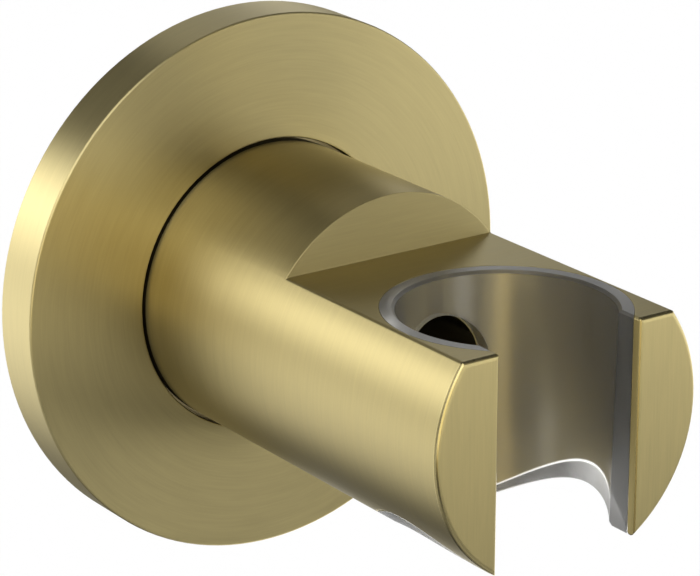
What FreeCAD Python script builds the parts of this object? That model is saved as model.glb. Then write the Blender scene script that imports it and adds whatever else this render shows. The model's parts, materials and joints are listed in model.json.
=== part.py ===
# Wall holder for a hand shower.
# A round bar stands out from a cover disc. Its outer end is cut down to a flat top and
# forked, and a clear tapered liner in the fork takes the cone of the handset's hose nut.
# The bar is bolted through the back of the fork to a flange that is screwed to the wall.
# Frame: millimetres, the wall plane is y = 0 with the wall on +Y, the bar runs out along -Y,
# +X is to the right and +Z is up. The origin lies on the bar's axis.

import FreeCAD, Part
import math
import os

V = FreeCAD.Vector
ORIGIN = V(0, 0, 0)
OUTWARD = V(0, -1, 0)
UP = V(0, 0, 1)

# Handset seat and its clear liner
SEAT_TOP_R = 11.0         # mouth of the tapered seat
SEAT_TAPER_DEG = 0.9      # half angle of the taper
SEAT_MOUTH_EDGE = 0.3     # chamfer round the mouth
SEAT_FOOT_EDGE = 0.3      # chamfer round the lower end
LINER_WALL = 1.5          # at the mouth
LINER_FIT = 0.05          # radial gap between liner and bar
SLOT_WIDTH = 17.1         # lets the hose in from the front

# Bar
FLAT_HEIGHT = 9.48        # bar axis to the flat top
SEAT_RIM = 0.3            # metal between the seat and the long edges of the flat
BAR_VISIBLE = 22.1        # cover disc to the step
FLAT_BEHIND_SEAT = 6.9    # step to the seat
JAW_LIP = 1.0             # metal in front of the liner at the slot
JAW_EDGE_R = 0.45         # rounding of the edges of the front faces
JAW_EDGE_FLATS = 3        # narrow flats that make up the rounding
SLOT_TOP_EDGE = 0.25      # chamfer where the slot meets the flat top
FLAT_EDGE = 0.15          # chamfer along the flat's long edges
BORE_FOOT_EDGE = 0.15     # chamfer round the lower end of the liner's bore
BAR_BACK_EDGE = 0.5       # chamfer at the hidden end

# Cover disc
COVER_R = 30.0
COVER_DEPTH = 5.85
COVER_WALL = 1.2
COVER_EDGE = 0.15
COVER_GAP = 0.35          # radial gap between cover and bar
COVER_HOLE_EDGE = 0.1
COVER_BACK_GAP = 0.5      # cover face to flange

# Wall flange, its gasket and the ring that grips the cover
GASKET_T = 0.8
GASKET_MARGIN = 1.6       # gasket edge inside the flange edge
GASKET_HOLE_MARGIN = 0.5  # gasket holes larger than the screw holes
FLANGE_RIM_GAP = 0.4
RING_HEIGHT = 1.3         # radial height of the squeezed ring
RING_WIDTH = 1.7
RING_BULGE = 0.3          # how far the ring's sides swell
GROOVE_PLAY = 0.15        # each side of the ring
SCREW_HOLE_R = 2.5
SCREW_SINK_R = 4.7
HUB_R = 8.0
HUB_LENGTH = 7.0
HUB_EDGE = 0.5
HUB_FIT = 0.05
HUB_END_GAP = 0.4
PIN_R = 1.5
PIN_LENGTH = 7.0
PIN_EDGE = 0.3
PIN_FIT = 0.05
PIN_END_GAP = 0.5
PIN_SKIN = 1.0            # flange metal left behind each pin

# Bolt that draws the bar onto the hub
BOLT_R = 3.0
BOLT_TIP_EDGE = 0.6
BOLT_HEAD_R = 5.0
BOLT_HEAD_HEIGHT = 6.0
BOLT_HEAD_EDGE = 0.5
KEY_WIDTH = 5.0           # across the flats of the hexagon socket
KEY_DEPTH = 3.0
KEY_SIDES = 6
BOLT_WEB = 6.0            # bar metal under the bolt head
BOLT_SETBACK = 2.4        # bolt tip inside the flange's back face
THREAD_GAP = 0.02
SHANK_GAP = 0.3
HEAD_GAP = 0.2
WASHER_T = 1.6
WASHER_MARGIN = 0.05      # washer edge inside the bolt head's edge
WASHER_BORE_GAP = 0.15
WASHER_SPLIT = 1.0
LINER_HOLE_GAP = 0.1      # liner hole larger than the bolt's tunnel

# Places that follow from the sizes above
SLOT_HALF = SLOT_WIDTH / 2
LINER_R = SEAT_TOP_R + LINER_WALL
SEAT_BORE_R = LINER_R + LINER_FIT
FLAT_HALF = SEAT_BORE_R + SEAT_RIM
BAR_R = math.hypot(FLAT_HALF, FLAT_HEIGHT)
STEP_REACH = COVER_DEPTH + BAR_VISIBLE
SEAT_REACH = STEP_REACH + FLAT_BEHIND_SEAT + SEAT_BORE_R
BAR_REACH = SEAT_REACH + math.sqrt(SEAT_BORE_R ** 2 - SLOT_HALF ** 2) + JAW_LIP
COVER_INNER_R = COVER_R - COVER_WALL
COVER_HOLE_R = BAR_R + COVER_GAP
FLANGE_R = COVER_INNER_R - FLANGE_RIM_GAP
GROOVE_R = COVER_INNER_R - RING_HEIGHT
FLANGE_FACE = COVER_DEPTH - COVER_WALL - COVER_BACK_GAP
FLANGE_T = FLANGE_FACE - GASKET_T
SCREW_RADIUS = (BAR_R + GROOVE_R) / 2
HUB_RECESS_R = HUB_R + HUB_FIT
HUB_RECESS_END = FLANGE_FACE + HUB_LENGTH + HUB_END_GAP
PIN_RADIUS = (HUB_RECESS_R + BAR_R) / 2
PIN_START = GASKET_T + PIN_SKIN
BOLT_SEAT = HUB_RECESS_END + BOLT_WEB
BOLT_HEAD_SEAT = BOLT_SEAT + WASHER_T
TUNNEL_R = BOLT_HEAD_R + HEAD_GAP
WASHER_R = BOLT_HEAD_R - WASHER_MARGIN

NEAR = 1e-4               # tolerance for finding edges
PAST = 1.0                # how far a cutting tool runs past a face


def reach(distance, x=0.0, z=0.0):
    """Point at a distance out from the wall plane."""
    return V(x, -distance, z)


def turned(points, centre=ORIGIN, axis=OUTWARD, across=V(1, 0, 0)):
    """Solid of revolution from (radius, distance along the axis) points."""
    outline = [centre + across * radius + axis * along for radius, along in points]
    face = Part.Face(Part.makePolygon(outline + outline[:1]))
    return face.revolve(centre, axis, 360)


def rod(radius, start, end, x=0.0, z=0.0):
    """Cylinder along the bar's direction between two reaches."""
    return Part.makeCylinder(radius, end - start, reach(start, x, z), OUTWARD)


def block(corners, sweep):
    """Solid with an outline of corners, drawn out along the sweep."""
    return Part.Face(Part.makePolygon(corners + corners[:1])).extrude(sweep)


def prism(points, start, end):
    """Block with an outline of (x, z) points, between two reaches."""
    return block([reach(start, x, z) for x, z in points], OUTWARD * (end - start))


def chamfered(shape, size, wanted):
    """Chamfer the edges whose two ends and middle all pass the test."""
    chosen = []
    for edge in shape.Edges:
        spots = [edge.FirstParameter, edge.LastParameter]
        spots.append(sum(spots) / 2)
        if all(wanted(edge.valueAt(spot)) for spot in spots):
            chosen.append(edge)
    return shape.makeChamfer(size, chosen)


def close(a, b):
    return abs(a - b) < NEAR


def on_bore_foot(point):
    """True on the lower edge of the bore for the liner, which follows the round of the bar."""
    from_seat = math.hypot(point.x, point.y + SEAT_REACH)
    on_round = close(math.hypot(point.x, point.z), BAR_R) and point.z < 0
    return on_round and close(from_seat, SEAT_BORE_R)


def seat_centre(height=0.0):
    return reach(SEAT_REACH, 0.0, height)


def front_rounding():
    """Steps round a front edge: (distance in from the side, distance back from the front)."""
    turns = [math.pi / 2 * step / JAW_EDGE_FLATS for step in range(JAW_EDGE_FLATS + 1)]
    return [(JAW_EDGE_R * (1 - math.cos(turn)), JAW_EDGE_R * (1 - math.sin(turn))) for turn in turns]


def mirrored(points):
    """Outline that goes through the points and back through their mirror images."""
    return points + [(-x, other) for x, other in reversed(points)]


def above_flat():
    """Space over the flat top, rounded down over the front."""
    outline = [(STEP_REACH, BAR_R + PAST), (STEP_REACH, FLAT_HEIGHT)]
    outline += [(BAR_REACH - back, FLAT_HEIGHT - inward) for inward, back in front_rounding()]
    outline += [(BAR_REACH + PAST, FLAT_HEIGHT - JAW_EDGE_R), (BAR_REACH + PAST, BAR_R + PAST)]
    corners = [reach(distance, -BAR_R - PAST, height) for distance, height in outline]
    return block(corners, V(2 * (BAR_R + PAST), 0, 0))


def slot():
    """Space that the hose passes through, rounded out to the front faces."""
    right = [(SLOT_HALF, SEAT_REACH)]
    right += [(SLOT_HALF + inward, BAR_REACH - back) for inward, back in front_rounding()]
    right += [(SLOT_HALF + JAW_EDGE_R, BAR_REACH + PAST)]
    corners = [reach(distance, x, -BAR_R - PAST) for x, distance in mirrored(right)]
    return block(corners, UP * (2 * (BAR_R + PAST)))


def slot_bevel():
    """Space that bevels the slot's edges at the flat top."""
    right = [(SLOT_HALF, FLAT_HEIGHT - SLOT_TOP_EDGE)]
    right += [(SLOT_HALF + SLOT_TOP_EDGE + PAST, FLAT_HEIGHT + PAST)]
    return prism(mirrored(right), SEAT_REACH, BAR_REACH + PAST)


def flat_bevel(side):
    """Wedge that bevels one long edge of the flat top, on side 1 or -1."""
    corner = V(side * FLAT_HALF, 0, FLAT_HEIGHT)
    on_flat = corner - V(side * FLAT_EDGE, 0, 0)
    on_round = corner + V(side * FLAT_HEIGHT, 0, -FLAT_HALF) * (FLAT_EDGE / BAR_R)
    along = (on_round - on_flat).normalize() * PAST
    points = [on_flat - along, on_round + along, corner * ((BAR_R + PAST) / BAR_R)]
    return prism([(point.x, point.z) for point in points], STEP_REACH, BAR_REACH + PAST)


def bar_round():
    """The plain round bar before it is forked."""
    back_r = BAR_R - BAR_BACK_EDGE
    outline = [(0, FLANGE_FACE), (back_r, FLANGE_FACE), (BAR_R, FLANGE_FACE + BAR_BACK_EDGE)]
    outline += [(BAR_R - inward, BAR_REACH - back) for inward, back in front_rounding()]
    return turned(outline + [(0, BAR_REACH)])


def bolt_path():
    """Hub recess, shank hole and head tunnel, cut along the bar's axis."""
    recess = rod(HUB_RECESS_R, FLANGE_FACE - PAST, HUB_RECESS_END)
    shank = rod(BOLT_R + SHANK_GAP, FLANGE_FACE, BOLT_SEAT + PAST)
    tunnel = rod(TUNNEL_R, BOLT_SEAT, SEAT_REACH)
    return recess.fuse([shank, tunnel])


def pin_places():
    return [PIN_RADIUS, -PIN_RADIUS]


def holder_arm():
    arm = bar_round().cut(above_flat())
    drop = FLAT_HEIGHT + BAR_R + 2 * PAST
    arm = arm.cut(Part.makeCylinder(SEAT_BORE_R, drop, seat_centre(-BAR_R - PAST), UP))
    arm = arm.cut(slot())
    arm = arm.cut(bolt_path())
    pin_end = PIN_START + PIN_LENGTH + PIN_END_GAP
    for height in pin_places():
        arm = arm.cut(rod(PIN_R + PIN_FIT, FLANGE_FACE - PAST, pin_end, 0, height))
    arm = chamfered(arm, BORE_FOOT_EDGE, on_bore_foot)
    return arm.cut([slot_bevel(), flat_bevel(1), flat_bevel(-1)])


def seat_cone():
    """Tapered space inside the liner, with a chamfered mouth."""
    slope = math.tan(math.radians(SEAT_TAPER_DEG))
    bottom = -BAR_R - PAST
    bottom_r = SEAT_TOP_R - slope * (FLAT_HEIGHT - bottom)
    mouth_r = SEAT_TOP_R + SEAT_MOUTH_EDGE
    outline = [(0, bottom), (bottom_r, bottom), (SEAT_TOP_R, FLAT_HEIGHT - SEAT_MOUTH_EDGE)]
    outline += [(mouth_r, FLAT_HEIGHT), (mouth_r, FLAT_HEIGHT + PAST), (0, FLAT_HEIGHT + PAST)]
    return turned(outline, seat_centre(), UP)


def on_seat_foot(point):
    """True on the liner's lower inner edge, which follows the round of the bar."""
    from_seat = math.hypot(point.x, point.y + SEAT_REACH)
    on_round = close(math.hypot(point.x, point.z), BAR_R) and point.z < 0
    return on_round and from_seat < SEAT_TOP_R


def cone_liner():
    drop = FLAT_HEIGHT + BAR_R + PAST
    liner = Part.makeCylinder(LINER_R, drop, seat_centre(-BAR_R - PAST), UP)
    liner = liner.cut(seat_cone())
    liner = liner.common(rod(BAR_R, STEP_REACH, BAR_REACH))
    liner = liner.cut([slot(), slot_bevel()])
    liner = liner.cut(rod(TUNNEL_R + LINER_HOLE_GAP, STEP_REACH, SEAT_REACH))
    return chamfered(liner, SEAT_FOOT_EDGE, on_seat_foot)


def cover_disc():
    inner_face = COVER_DEPTH - COVER_WALL
    outline = [(COVER_INNER_R, 0), (COVER_R, 0), (COVER_R, COVER_DEPTH - COVER_EDGE)]
    outline += [(COVER_R - COVER_EDGE, COVER_DEPTH), (COVER_HOLE_R + COVER_HOLE_EDGE, COVER_DEPTH)]
    outline += [(COVER_HOLE_R, COVER_DEPTH - COVER_HOLE_EDGE), (COVER_HOLE_R, inner_face)]
    outline += [(COVER_INNER_R, inner_face)]
    return turned(outline)


def mounting_flange():
    hub_end = FLANGE_FACE + HUB_LENGTH
    groove_half = RING_WIDTH / 2 + GROOVE_PLAY
    middle = GASKET_T + FLANGE_T / 2
    outline = [(0, GASKET_T), (FLANGE_R, GASKET_T), (FLANGE_R, middle - groove_half)]
    outline += [(GROOVE_R, middle - groove_half), (GROOVE_R, middle + groove_half)]
    outline += [(FLANGE_R, middle + groove_half), (FLANGE_R, FLANGE_FACE), (HUB_R, FLANGE_FACE)]
    outline += [(HUB_R, hub_end - HUB_EDGE), (HUB_R - HUB_EDGE, hub_end), (0, hub_end)]
    flange = turned(outline)
    flange = flange.cut(rod(BOLT_R + THREAD_GAP, 0, hub_end + PAST))
    for height in pin_places():
        flange = flange.cut(rod(PIN_R, PIN_START, FLANGE_FACE + PAST, 0, height))
    sink_start = FLANGE_FACE - (SCREW_SINK_R - SCREW_HOLE_R)
    sink = [(0, 0), (SCREW_HOLE_R, 0), (SCREW_HOLE_R, sink_start), (SCREW_SINK_R, FLANGE_FACE)]
    sink += [(SCREW_SINK_R, FLANGE_FACE + PAST), (0, FLANGE_FACE + PAST)]
    for side in (SCREW_RADIUS, -SCREW_RADIUS):
        flange = flange.cut(turned(sink, V(side, 0, 0)))
    return flange


def wall_gasket():
    gasket = rod(FLANGE_R - GASKET_MARGIN, 0, GASKET_T)
    for side in (SCREW_RADIUS, -SCREW_RADIUS):
        gasket = gasket.cut(rod(SCREW_HOLE_R + GASKET_HOLE_MARGIN, 0, GASKET_T, side))
    return gasket


def cover_o_ring():
    """Ring squeezed flat between the groove and the cover, with bulged sides."""
    middle = GASKET_T + FLANGE_T / 2
    half = RING_WIDTH / 2
    flat = half - RING_BULGE
    mid_r = (GROOVE_R + COVER_INNER_R) / 2
    outline = [(GROOVE_R, middle - flat), (mid_r, middle - half), (COVER_INNER_R, middle - flat)]
    outline += [(COVER_INNER_R, middle + flat), (mid_r, middle + half), (GROOVE_R, middle + flat)]
    return turned(outline)


def locating_pins():
    tip_r = PIN_R - PIN_EDGE
    outline = [(0, 0), (tip_r, 0), (PIN_R, PIN_EDGE), (PIN_R, PIN_LENGTH - PIN_EDGE)]
    outline += [(tip_r, PIN_LENGTH), (0, PIN_LENGTH)]
    return Part.Compound([turned(outline, reach(PIN_START, 0, height)) for height in pin_places()])


def key_socket(head_top):
    """Hexagon space in the bolt's head, open past its top."""
    corner_r = KEY_WIDTH / 2 / math.cos(math.pi / KEY_SIDES)
    corners = []
    for step in range(KEY_SIDES):
        turn = 2 * math.pi * step / KEY_SIDES
        corners.append((corner_r * math.cos(turn), corner_r * math.sin(turn)))
    return prism(corners, head_top - KEY_DEPTH, head_top + PAST)


def arm_bolt():
    tip = GASKET_T + BOLT_SETBACK
    head_top = BOLT_HEAD_SEAT + BOLT_HEAD_HEIGHT
    outline = [(0, tip), (BOLT_R - BOLT_TIP_EDGE, tip), (BOLT_R, tip + BOLT_TIP_EDGE)]
    outline += [(BOLT_R, BOLT_HEAD_SEAT), (BOLT_HEAD_R, BOLT_HEAD_SEAT)]
    outline += [(BOLT_HEAD_R, head_top - BOLT_HEAD_EDGE), (BOLT_HEAD_R - BOLT_HEAD_EDGE, head_top)]
    outline += [(0, head_top)]
    return turned(outline).cut(key_socket(head_top))


def lock_washer():
    washer = rod(WASHER_R, BOLT_SEAT, BOLT_HEAD_SEAT)
    bore_r = BOLT_R + WASHER_BORE_GAP
    washer = washer.cut(rod(bore_r, BOLT_SEAT - PAST, BOLT_HEAD_SEAT + PAST))
    corner = V(-WASHER_SPLIT / 2, -BOLT_HEAD_SEAT - PAST, 0)
    return washer.cut(Part.makeBox(WASHER_SPLIT, WASHER_T + 2 * PAST, WASHER_R + PAST, corner))


PARTS = [holder_arm, cone_liner, cover_disc, mounting_flange, wall_gasket, cover_o_ring]
PARTS += [locating_pins, arm_bolt, lock_washer]

os.makedirs("parts", exist_ok=True)
for make in PARTS:
    make().exportStep(f"parts/{make.__name__}.step")
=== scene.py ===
import json
import math
import bpy
from mathutils import Euler, Matrix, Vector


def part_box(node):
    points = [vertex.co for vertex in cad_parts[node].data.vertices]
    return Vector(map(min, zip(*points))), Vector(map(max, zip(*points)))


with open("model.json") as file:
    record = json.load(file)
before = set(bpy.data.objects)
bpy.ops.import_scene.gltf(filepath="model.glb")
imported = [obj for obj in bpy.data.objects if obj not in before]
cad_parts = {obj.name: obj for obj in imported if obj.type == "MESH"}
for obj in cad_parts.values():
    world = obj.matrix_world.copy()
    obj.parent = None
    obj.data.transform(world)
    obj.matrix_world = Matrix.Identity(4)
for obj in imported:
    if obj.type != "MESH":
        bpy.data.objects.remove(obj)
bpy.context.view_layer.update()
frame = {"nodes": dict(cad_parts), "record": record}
NODES = frame["nodes"]
MM = 0.001
X, Y, Z = range(3)
ALONG_X = (1.0, 0.0, 0.0)
ALONG_Y = (0.0, 1.0, 0.0)
ALONG_Z = (0.0, 0.0, 1.0)
WHITE = (1.0, 1.0, 1.0, 1.0)

# Camera, worked out from the edges of the disc, bar, step and seat
CAMERA_PLACE = (-0.192624, -0.294524, 0.121124)
CAMERA_YAW_DEG = 35.1284
CAMERA_DOWN_DEG = 19.3147
CAMERA_ROLL_DEG = 0.0963
CAMERA_LENS_MM = 174.423
CAMERA_SENSOR_MM = 36.0
CAMERA_CLIP_START = 0.01

# Stage: a white floor, an even white world, and a tent with soft boxes round the object
FLOOR_DROP = 0.32
FLOOR_SIZE = 12.0
FLOOR_ROUGH = 0.9
WORLD_LEVEL = 1.0
TENT_RADIUS = 0.27
TENT_CENTRE = (0.0, -0.03, 0.0)
TENT_SUBDIVISIONS = 6
TENT_LEVEL = 0.07

# Soft boxes on the tent. The first three numbers are angles round the bar's axis, counted from
# the right over the top: the box's middle, half its width and its soft edge. The next three
# are angles from the wall's side: where it starts, where it ends and its soft edge there.
# All of them are in degrees. The last number is its brightness.
SOFT_BOXES = {
    "left": (190, 48, 22, 0, 68, 16, 1.62),
    "left_edge": (158, 14, 14, 25, 72, 15, 1.8),
    "left_middle": (200, 12, 10, 0, 68, 16, 0.35),
    "low_left": (268, 36, 32, 0, 50, 15, 0.3),
    "behind_right": (32, 11, 11, 25, 53, 10, 1.6),
    "behind_high": (66, 18, 10, 25, 48, 8, 0.75),
    "low_right": (325, 35, 20, 45, 110, 12, 2.0),
    "left_glow": (208, 20, 14, 88, 108, 9, 1.2),
    "left_band": (168, 30, 9, 116, 131, 6, 2.3),
    "right_strip": (0, 20, 10, 103, 138, 10, 2.4),
    "under": (275, 35, 20, 100, 140, 12, 0.5),
    "front_top": (128, 28, 20, 95, 150, 15, 2.1),
    "front_high": (76, 20, 12, 120, 145, 8, 0.35),
    "front_right_high": (46, 7, 6, 126, 146, 8, 0.9),
    "front_strip": (17, 10, 8, 135, 154, 8, 3.1),
    "room_right": (320, 54, 26, 150, 195, 12, 1.85),
    "room_left": (180, 50, 22, 150, 195, 12, 0.55),
}
# Boxes of the same kind with a warm light, which reaches the bar by way of the disc's face
WARM_BOXES = {
    "front_left": (184, 30, 18, 134, 156, 10, 2.5),
    "front_high_spot": (63, 10, 7, 130, 146, 7, 1.6),
}
WARM_TINT = (1.0, 0.86, 0.5)

# Brass that shows. The nearly black tone is painted shade in the gap round the bar, in the disc's
# hole and in the tunnel of the bolt.
BRASS = (0.44, 0.37, 0.175)
# The jaw and rim tones are lighter copies of the same brass, painted light standing in for more
# light there.
LIT_JAW_BRASS = (0.5, 0.425, 0.205)
LIT_RIM_BRASS = (0.53, 0.45, 0.22)
PAINTED_SHADE_BRASS = (0.05, 0.04, 0.02)
BRASS_ROUGH = 0.35
FACE_ROUGH = 0.45
EDGE_ROUGH = 0.2
CHEEK_ROUGH = 0.6

# Brushed metal: lines to a metre across and along them, then how strong and uneven they are
FINE_LINES = 5200.0
BROAD_LINES = 1300.0
LINE_BREAKS = 160.0
FINE_SHARE = 0.6
FINE_GRAIN = 0.6
LINE_BUMP = 0.3
LINE_DEPTH = 0.01 * MM
LINE_TINT = 0.16
DISC_LINE_TINT = 0.14
LINE_UNEVENNESS = 0.15
METAL_ANISOTROPY = 0.9
EDGE_BREAK = 0.2 * MM
EDGE_SAMPLES = 8

# Clear plastic, and its satin cut faces, whose colour is painted darker as painted shade
CLEAR = (0.83, 0.82, 0.79)
SHADED_CLEAR_CUT = (0.5, 0.495, 0.48)
CLEAR_ROUGH = 0.22
CLEAR_CUT_ROUGH = 0.35
CLEAR_IOR = 1.49
CLEAR_TRANSMISSION = 0.95
CLEAR_WAVES = 300.0
CLEAR_WAVE_BUMP = 0.05
CLEAR_WAVE_DEPTH = 0.01 * MM

# Rubber
RUBBER_GRAIN = 4000.0
RUBBER_CLOUDS = 350.0
RUBBER_TINT = 0.6
RUBBER_LEAST_ROUGH = 0.65
RUBBER_MOST_ROUGH = 0.85
RUBBER_BUMP = 0.3
RUBBER_DEPTH = 0.03 * MM

# Pieces inside the holder. Metal ones have their material's name, its colour and roughness,
# and rubber ones their material's name and its brightness.
METAL_PIECES = {
    "mounting_flange": ("plain_brass", (0.7, 0.58, 0.3), 0.35),
    "locating_pins": ("pin_steel", (0.6, 0.6, 0.6), 0.25),
    "arm_bolt": ("bolt_steel", (0.5, 0.5, 0.5), 0.3),
    "lock_washer": ("washer_steel", (0.55, 0.55, 0.55), 0.35),
}
RUBBER_PIECES = {
    "wall_gasket": ("gasket_rubber", 0.05),
    "cover_o_ring": ("ring_rubber", 0.04),
}

# Places on the pieces, and the least part of a normal along an axis of faces that are square
# to the axis and of faces that are no longer upright walls
SEAT = next(mount for mount in frame["record"]["mounts"] if mount["name"] == "handset_seat")
SEAT_AXIS = (SEAT["pos_m"][0], SEAT["pos_m"][1], 0.0)
SEAT_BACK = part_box("cone_liner")[1].y
BAR_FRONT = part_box("holder_arm")[0].y
COVER_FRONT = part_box("cover_disc")[0].y
HOLE_MARGIN = 0.4 * MM
HOLE_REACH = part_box("holder_arm")[1].x + HOLE_MARGIN
BORE_REACH = 14.0 * MM
SLOT_REACH = 10.0 * MM
TUNNEL_REACH = 6.5 * MM
CHEEKS_AHEAD = 6.0 * MM
CHEEKS_START = SEAT["pos_m"][1] - CHEEKS_AHEAD
EDGE_WIDTH = 0.5 * MM
FACES_SQUARE = 0.9
WALLS_UPRIGHT = 0.2


def feed(tree, socket, value):
    """Link a socket's output, or set a plain value."""
    if isinstance(value, bpy.types.NodeSocket):
        tree.links.new(value, socket)
    else:
        socket.default_value = value


def add(tree, kind, inputs=None, **options):
    """New node with its options and inputs set."""
    made = tree.nodes.new(kind)
    for name, value in options.items():
        setattr(made, name, value)
    for key, value in (inputs or {}).items():
        feed(tree, made.inputs[key], value)
    return made


def maths(tree, operation, *values):
    """Output of one Math node."""
    return add(tree, "ShaderNodeMath", dict(enumerate(values)), operation=operation).outputs[0]


def vectors(tree, operation, *values):
    """Output of one Vector Math node, the number for those that give a number."""
    made = add(tree, "ShaderNodeVectorMath", dict(enumerate(values)), operation=operation)
    is_number = operation in ("DOT_PRODUCT", "LENGTH")
    return made.outputs["Value" if is_number else "Vector"]


def scaled(tree, vector, level):
    """Vector or colour times a number."""
    made = add(tree, "ShaderNodeVectorMath", {0: vector, "Scale": level}, operation="SCALE")
    return made.outputs["Vector"]


def joined(tree, x, y, z):
    """Vector from three numbers."""
    return add(tree, "ShaderNodeCombineXYZ", {0: x, 1: y, 2: z}).outputs[0]


def split(tree, vector):
    """The three numbers of a vector."""
    return add(tree, "ShaderNodeSeparateXYZ", {0: vector}).outputs


def ranged(tree, value, from_low, from_high, to_low, to_high, kind="LINEAR"):
    """Value carried from one range to another and kept within it."""
    inputs = {0: value, 1: from_low, 2: from_high, 3: to_low, 4: to_high}
    return add(tree, "ShaderNodeMapRange", inputs, interpolation_type=kind).outputs[0]


def mixed(tree, mask, plain, chosen):
    """One number where the mask is 0 and another where it is 1."""
    return ranged(tree, mask, 0.0, 1.0, plain, chosen)


def blended(tree, mask, plain, chosen):
    """One vector where the mask is 0 and another where it is 1."""
    made = add(tree, "ShaderNodeMix", {"Factor": mask, 4: plain, 5: chosen}, data_type="VECTOR")
    return made.outputs[1]


def both(tree, mask, other):
    """1 where two masks are 1."""
    return maths(tree, "MULTIPLY", mask, other)


def either(tree, mask, other):
    """1 where one of two masks is 1."""
    return maths(tree, "MAXIMUM", mask, other)


def noise(tree, vector, scale, detail=2.0, roughness=0.5):
    """Soft random values from 0 to 1."""
    inputs = {"Vector": vector, "Scale": scale, "Detail": detail, "Roughness": roughness}
    return add(tree, "ShaderNodeTexNoise", inputs).outputs[0]


def tinted(tree, colour, value, spread):
    """Colour made a little lighter and darker by a value from 0 to 1."""
    return scaled(tree, colour, mixed(tree, value, 1.0 - spread, 1.0 + spread))


def bumped(tree, shader, height, strength, depth, edge=0.0):
    """Bump of a given depth in metres. Sharp edges are lightly broken where edge is given."""
    inputs = {"Height": height, "Strength": strength, "Distance": depth}
    if edge:
        broken = add(tree, "ShaderNodeBevel", {"Radius": edge}, samples=EDGE_SAMPLES)
        inputs["Normal"] = broken.outputs[0]
    feed(tree, shader.inputs["Normal"], add(tree, "ShaderNodeBump", inputs).outputs[0])


def new_material(name):
    """Material with one Principled shader: the material, its tree and the shader."""
    material = bpy.data.materials.new(name)
    material.use_nodes = True
    tree = material.node_tree
    return material, tree, tree.nodes["Principled BSDF"]


def dress(node, material):
    """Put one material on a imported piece."""
    mesh = NODES[node].data
    mesh.materials.clear()
    mesh.materials.append(material)


def place_and_normal(tree):
    """The object's own coordinates and its normals in them."""
    coordinates = add(tree, "ShaderNodeTexCoord").outputs
    return coordinates["Object"], coordinates["Normal"]


def facing(tree, normal, axis, least=FACES_SQUARE):
    """1 where the normal's part along an axis, either way, is over a level."""
    part = maths(tree, "ABSOLUTE", split(tree, normal)[axis])
    return maths(tree, "GREATER_THAN", part, least)


def from_bar_axis(tree, place):
    """Vector from the bar's axis straight out to a place."""
    return vectors(tree, "MULTIPLY", place, (1.0, 0.0, 1.0))


def lines(tree, place, across):
    """Coordinates of fine and broad lines: fast changes on one axis, slow ones on the others."""
    fine = [LINE_BREAKS] * 3
    broad = [LINE_BREAKS] * 3
    fine[across] = FINE_LINES
    broad[across] = BROAD_LINES
    return vectors(tree, "MULTIPLY", place, fine), vectors(tree, "MULTIPLY", place, broad)


def chosen_lines(tree, mask, plain, chosen):
    """Coordinates of some lines where the mask is 0 and of others where it is 1."""
    return [blended(tree, mask, one, other) for one, other in zip(plain, chosen)]


def brushed(tree, shader, coordinates, across, colour, rough, tint=LINE_TINT):
    """Brushed metal: fine and broad lines with the highlight drawn out across them."""
    fine = noise(tree, coordinates[0], 1.0, roughness=FINE_GRAIN)
    broad = noise(tree, coordinates[1], 1.0)
    fine_part = maths(tree, "MULTIPLY", fine, FINE_SHARE)
    broad_part = maths(tree, "MULTIPLY", broad, 1.0 - FINE_SHARE)
    brush = maths(tree, "ADD", fine_part, broad_part)
    uneven = mixed(tree, brush, 1.0 - LINE_UNEVENNESS, 1.0 + LINE_UNEVENNESS)
    feed(tree, shader.inputs["Base Color"], tinted(tree, colour, brush, tint))
    feed(tree, shader.inputs["Roughness"], maths(tree, "MULTIPLY", uneven, rough))
    feed(tree, shader.inputs["Tangent"], across)
    bumped(tree, shader, brush, LINE_BUMP, LINE_DEPTH, EDGE_BREAK)
    shader.inputs["Metallic"].default_value = 1.0
    shader.inputs["Anisotropic"].default_value = METAL_ANISOTROPY


def in_bore(tree, place, normal):
    """1 on the round wall of the seat bore, whose normals point at the seat's axis."""
    from_seat = vectors(tree, "SUBTRACT", place, SEAT_AXIS)
    from_axis = vectors(tree, "MULTIPLY", from_seat, (1.0, 1.0, 0.0))
    is_near = maths(tree, "LESS_THAN", vectors(tree, "LENGTH", from_axis), BORE_REACH)
    is_inward = maths(tree, "LESS_THAN", vectors(tree, "DOT_PRODUCT", from_axis, normal), -MM)
    is_round = maths(tree, "SUBTRACT", 1.0, facing(tree, normal, X))
    return both(tree, both(tree, is_near, is_inward), is_round)


def bar_lines(tree, place, is_level, is_jaw):
    """Coordinates of the bar's lines and the way across them."""
    coordinates = chosen_lines(tree, is_level, lines(tree, place, Y), lines(tree, place, Z))
    coordinates = chosen_lines(tree, is_jaw, coordinates, lines(tree, place, X))
    across = blended(tree, is_level, ALONG_Y, ALONG_Z)
    return coordinates, blended(tree, is_jaw, across, ALONG_X)


def bar_rough(tree, place, normal, is_face):
    """Roughness of the bar, with its own level on front edges, flat faces and slot cheeks."""
    x, y = split(tree, place)[:2]
    is_edge = maths(tree, "LESS_THAN", y, BAR_FRONT + EDGE_WIDTH)
    is_inside = maths(tree, "LESS_THAN", maths(tree, "ABSOLUTE", x), SLOT_REACH)
    is_cheek = both(tree, facing(tree, normal, X), is_inside)
    rough = mixed(tree, is_edge, BRASS_ROUGH, EDGE_ROUGH)
    rough = mixed(tree, is_face, rough, FACE_ROUGH)
    return mixed(tree, is_cheek, rough, CHEEK_ROUGH)


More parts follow.
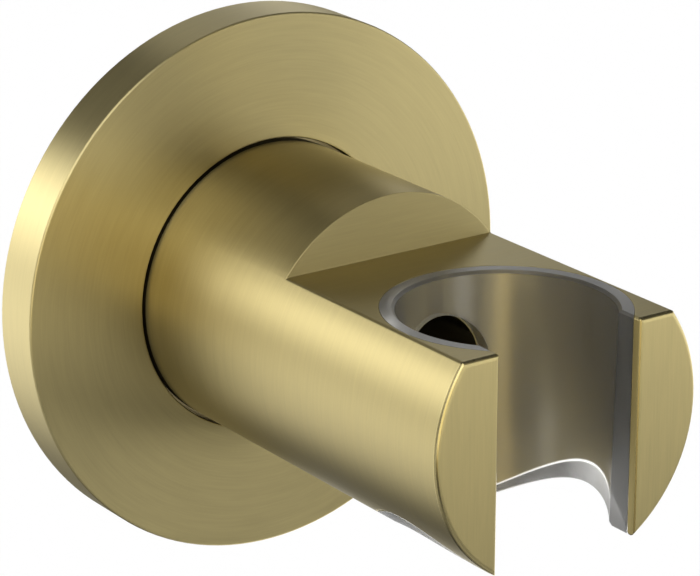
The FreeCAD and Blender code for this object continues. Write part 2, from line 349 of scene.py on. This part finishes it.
def bar_colour(tree, place, is_jaw, is_bore):
    """Colour of the bar: painted shade, nearly black, within the cover and in the tunnel of the
    bolt, and painted light on the jaws.
    """
    from_axis = vectors(tree, "LENGTH", from_bar_axis(tree, place))
    is_near = maths(tree, "LESS_THAN", from_axis, TUNNEL_REACH)
    is_shaded_tunnel = maths(tree, "GREATER_THAN", is_near, is_bore)
    is_shaded_in_cover = maths(tree, "GREATER_THAN", split(tree, place)[Y], COVER_FRONT)
    # Painted light: the jaws' faces get a lighter copy of the brass
    colour = blended(tree, is_jaw, BRASS, LIT_JAW_BRASS)
    # Painted shade: nearly black inside the cover and in the tunnel of the bolt
    return blended(tree, either(tree, is_shaded_in_cover, is_shaded_tunnel), colour, PAINTED_SHADE_BRASS)


def bar_brass():
    """Bar: brushed round, level lines on the step and in the bore, upright lines on the jaws."""
    material, tree, shader = new_material("brushed_brass")
    place, normal = place_and_normal(tree)
    is_face = facing(tree, normal, Y)
    is_bore = in_bore(tree, place, normal)
    is_ahead = maths(tree, "LESS_THAN", split(tree, place)[Y], SEAT_BACK)
    is_jaw = both(tree, is_face, is_ahead)
    coordinates, across = bar_lines(tree, place, either(tree, is_face, is_bore), is_jaw)
    colour = bar_colour(tree, place, is_jaw, is_bore)
    rough = bar_rough(tree, place, normal, is_face)
    brushed(tree, shader, coordinates, across, colour, rough)
    return material


def disc_brass():
    """Cover disc: fine circles on its face, lines round its rim in a painted lighter tone, painted
    shade in the hole for the bar.
    """
    material, tree, shader = new_material("turned_brass")
    place, normal = place_and_normal(tree)
    is_face = facing(tree, normal, Y)
    from_axis = from_bar_axis(tree, place)
    radius = vectors(tree, "LENGTH", from_axis)
    by_radius = vectors(tree, "ADD", from_axis, joined(tree, 0.0, radius, 0.0))
    coordinates = chosen_lines(tree, is_face, lines(tree, place, Y), lines(tree, by_radius, Y))
    across = blended(tree, is_face, ALONG_Y, vectors(tree, "NORMALIZE", from_axis))
    is_shaded_hole = maths(tree, "LESS_THAN", radius, HOLE_REACH)
    # Painted light: the rim gets a lighter copy of the brass
    colour = blended(tree, is_face, LIT_RIM_BRASS, BRASS)
    # Painted shade: the hole for the bar is painted nearly black
    colour = blended(tree, is_shaded_hole, colour, PAINTED_SHADE_BRASS)
    brushed(tree, shader, coordinates, across, colour, BRASS_ROUGH, DISC_LINE_TINT)
    return material


def turned_metal(name, colour, rough):
    """Plain turned metal inside the holder."""
    material, tree, shader = new_material(name)
    place = place_and_normal(tree)[0]
    brushed(tree, shader, lines(tree, place, Y), ALONG_Y, colour, rough)
    return material


def clear_plastic():
    """Liner: clear and glossy in its cone, satin on its cut faces, which are painted darker as
    painted shade.
    """
    material, tree, shader = new_material("clear_liner")
    place, normal = place_and_normal(tree)
    is_in_front = maths(tree, "LESS_THAN", split(tree, place)[Y], CHEEKS_START)
    is_cheek = both(tree, facing(tree, normal, X), is_in_front)
    is_cut = either(tree, facing(tree, normal, Z, WALLS_UPRIGHT), is_cheek)
    waves = noise(tree, place, CLEAR_WAVES, detail=1.0)
    bumped(tree, shader, waves, CLEAR_WAVE_BUMP, CLEAR_WAVE_DEPTH)
    # Painted shade: the cut faces get a darker copy of the clear colour
    feed(tree, shader.inputs["Base Color"], blended(tree, is_cut, CLEAR, SHADED_CLEAR_CUT))
    feed(tree, shader.inputs["Roughness"], mixed(tree, is_cut, CLEAR_ROUGH, CLEAR_CUT_ROUGH))
    shader.inputs["IOR"].default_value = CLEAR_IOR
    shader.inputs["Transmission Weight"].default_value = CLEAR_TRANSMISSION
    return material


def rubber(name, level):
    """Dark rubber with a fine grain and faint clouds."""
    material, tree, shader = new_material(name)
    place = place_and_normal(tree)[0]
    grain = noise(tree, place, RUBBER_GRAIN, detail=3.0)
    clouds = noise(tree, place, RUBBER_CLOUDS, detail=4.0, roughness=0.6)
    mottling = maths(tree, "MULTIPLY", maths(tree, "ADD", grain, clouds), 0.5)
    rough = mixed(tree, grain, RUBBER_LEAST_ROUGH, RUBBER_MOST_ROUGH)
    feed(tree, shader.inputs["Base Color"], tinted(tree, (level,) * 3, mottling, RUBBER_TINT))
    feed(tree, shader.inputs["Roughness"], rough)
    bumped(tree, shader, grain, RUBBER_BUMP, RUBBER_DEPTH)
    return material


def dress_all():
    """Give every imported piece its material."""
    dress("holder_arm", bar_brass())
    dress("cover_disc", disc_brass())
    dress("cone_liner", clear_plastic())
    for node, (name, colour, rough) in METAL_PIECES.items():
        dress(node, turned_metal(name, colour, rough))
    for node, (name, level) in RUBBER_PIECES.items():
        dress(node, rubber(name, level))


def add_camera():
    """Camera at the place, aim and lens of the photograph's."""
    data = bpy.data.cameras.new("camera")
    data.lens = CAMERA_LENS_MM
    data.sensor_width = CAMERA_SENSOR_MM
    data.clip_start = CAMERA_CLIP_START
    camera = bpy.data.objects.new("camera", data)
    bpy.context.scene.collection.objects.link(camera)
    camera.location = CAMERA_PLACE
    down = math.radians(90 - CAMERA_DOWN_DEG)
    aim = Euler((down, 0, math.radians(-CAMERA_YAW_DEG))).to_matrix()
    roll = Matrix.Rotation(math.radians(CAMERA_ROLL_DEG), 3, "Z")
    camera.rotation_euler = (aim @ roll).to_euler()
    bpy.context.scene.camera = camera


def add_world():
    """Even white light from all round."""
    world = bpy.data.worlds.new("world")
    world.use_nodes = True
    background = world.node_tree.nodes["Background"]
    background.inputs["Color"].default_value = WHITE
    background.inputs["Strength"].default_value = WORLD_LEVEL
    bpy.context.scene.world = world


def add_floor():
    """White floor far enough below to catch no shadow that shows."""
    bpy.ops.mesh.primitive_plane_add(size=FLOOR_SIZE, location=(0, 0, -FLOOR_DROP))
    floor = bpy.context.object
    floor.name = "floor"
    material, _, shader = new_material("floor")
    shader.inputs["Base Color"].default_value = WHITE
    shader.inputs["Roughness"].default_value = FLOOR_ROUGH
    floor.data.materials.append(material)


def faded(tree, angle, middle_deg, edge_deg, before, after):
    """Level that changes softly from one to another round an angle."""
    low = math.radians(middle_deg - edge_deg)
    high = math.radians(middle_deg + edge_deg)
    return ranged(tree, angle, low, high, before, after, "SMOOTHSTEP")


def soft_box(tree, round_it, from_wall, box):
    """Brightness of one soft box at the two angles of a direction."""
    middle, half, edge, start, end, end_edge, level = box
    turn = math.radians(middle)
    aim = (math.cos(turn), math.sin(turn), 0.0)
    nearness = maths(tree, "MINIMUM", vectors(tree, "DOT_PRODUCT", round_it, aim), 1.0)
    away = maths(tree, "ARCCOSINE", nearness)
    side = maths(tree, "MULTIPLY", faded(tree, away, half, edge, 1.0, 0.0), level)
    near = faded(tree, from_wall, start, end_edge, 0.0, 1.0)
    far = faded(tree, from_wall, end, end_edge, 1.0, 0.0)
    return maths(tree, "MULTIPLY", side, maths(tree, "MULTIPLY", near, far))


def soft_boxes(tree, round_it, from_wall, boxes, level):
    """Brightness of several soft boxes over a base level."""
    for box in boxes.values():
        level = maths(tree, "ADD", level, soft_box(tree, round_it, from_wall, box))
    return level


def tent_material():
    """Glow of the tent: a low level all over with the soft boxes on it."""
    material = bpy.data.materials.new("tent")
    material.use_nodes = True
    material.cycles.emission_sampling = "NONE"
    tree = material.node_tree
    tree.nodes.clear()
    place = add(tree, "ShaderNodeTexCoord").outputs["Object"]
    x, y, z = split(tree, vectors(tree, "NORMALIZE", place))
    round_it = vectors(tree, "NORMALIZE", joined(tree, x, z, 0.0))
    from_wall = maths(tree, "ARCCOSINE", y)
    plain = soft_boxes(tree, round_it, from_wall, SOFT_BOXES, TENT_LEVEL)
    warm = soft_boxes(tree, round_it, from_wall, WARM_BOXES, 0.0)
    colour = vectors(tree, "ADD", joined(tree, plain, plain, plain), scaled(tree, WARM_TINT, warm))
    glow = add(tree, "ShaderNodeEmission", {"Color": colour, "Strength": 1.0})
    add(tree, "ShaderNodeOutputMaterial", {"Surface": glow.outputs[0]})
    return material


def add_tent():
    """Studio tent that only the metal and the plastic see."""
    bpy.ops.mesh.primitive_ico_sphere_add(
        subdivisions=TENT_SUBDIVISIONS, radius=TENT_RADIUS, location=TENT_CENTRE)
    tent = bpy.context.object
    tent.name = "tent"
    tent.data.materials.append(tent_material())
    tent.visible_camera = False
    tent.visible_diffuse = False
    tent.visible_shadow = False


bpy.context.scene.view_settings.view_transform = "Standard"
add_camera()
add_world()
add_floor()
add_tent()
dress_all()
